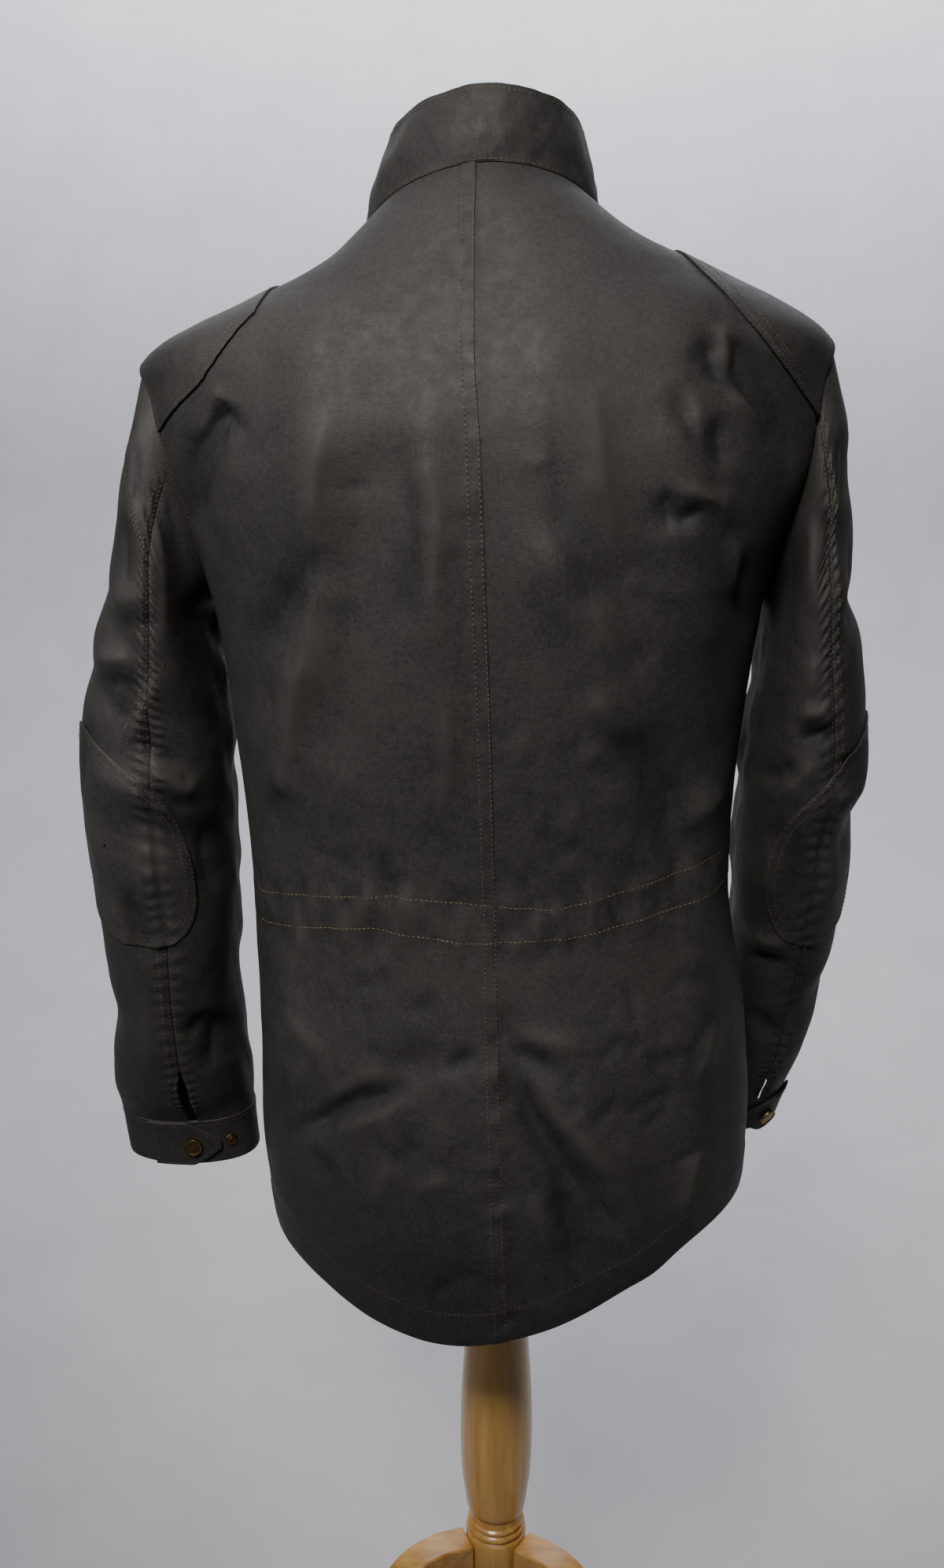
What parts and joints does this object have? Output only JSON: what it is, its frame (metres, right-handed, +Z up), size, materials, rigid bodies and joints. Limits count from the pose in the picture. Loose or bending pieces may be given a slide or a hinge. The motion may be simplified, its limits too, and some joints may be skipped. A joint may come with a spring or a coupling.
{
  "type": "waxed cotton jacket on dress form stand",
  "caption": "Waxed cotton field jacket with a stand collar, patched shoulders and elbows, worn by a limbless dress form on a turned pine column with three legs.",
  "frame": {"origin": "on the floor under the middle of the whole part's bounding box", "axes": "+Z up, -Y the front of the jacket, +X the wearer's left"},
  "size_m": [0.584, 0.428, 1.407],
  "materials": {
    "waxed_cotton": "satin wax",
    "waxed_cotton_patch": "satin wax",
    "brass": "antiqued",
    "linen": "matte",
    "pine": "satin varnish"
  },
  "bodies": {
    "root": {"back_left": "waxed_cotton", "back_right": "waxed_cotton", "front_left": "waxed_cotton", "front_right": "waxed_cotton", "shoulder_patch_left": "waxed_cotton_patch", "shoulder_patch_right": "waxed_cotton_patch", "collar": "waxed_cotton", "front_placket": "waxed_cotton", "front_snap_1": "brass", "front_snap_2": "brass", "front_snap_3": "brass", "front_snap_4": "brass", "front_snap_5": "brass", "front_snap_6": "brass", "sleeve_head_left": "waxed_cotton_patch", "sleeve_head_right": "waxed_cotton_patch", "top_sleeve_left": "waxed_cotton", "top_sleeve_right": "waxed_cotton", "under_sleeve_left": "waxed_cotton", "under_sleeve_right": "waxed_cotton", "elbow_patch_left": "waxed_cotton_patch", "elbow_patch_right": "waxed_cotton_patch", "cuff_left": "waxed_cotton", "cuff_right": "waxed_cotton", "cuff_tab_left": "waxed_cotton", "cuff_tab_right": "waxed_cotton", "cuff_snap_left": "brass", "cuff_snap_right": "brass", "cuff_stud_left": "brass", "cuff_stud_right": "brass", "dress_form": "linen", "column": "pine", "leg_1": "pine", "leg_2": "pine", "leg_3": "pine"}
  },
  "joints": []
}
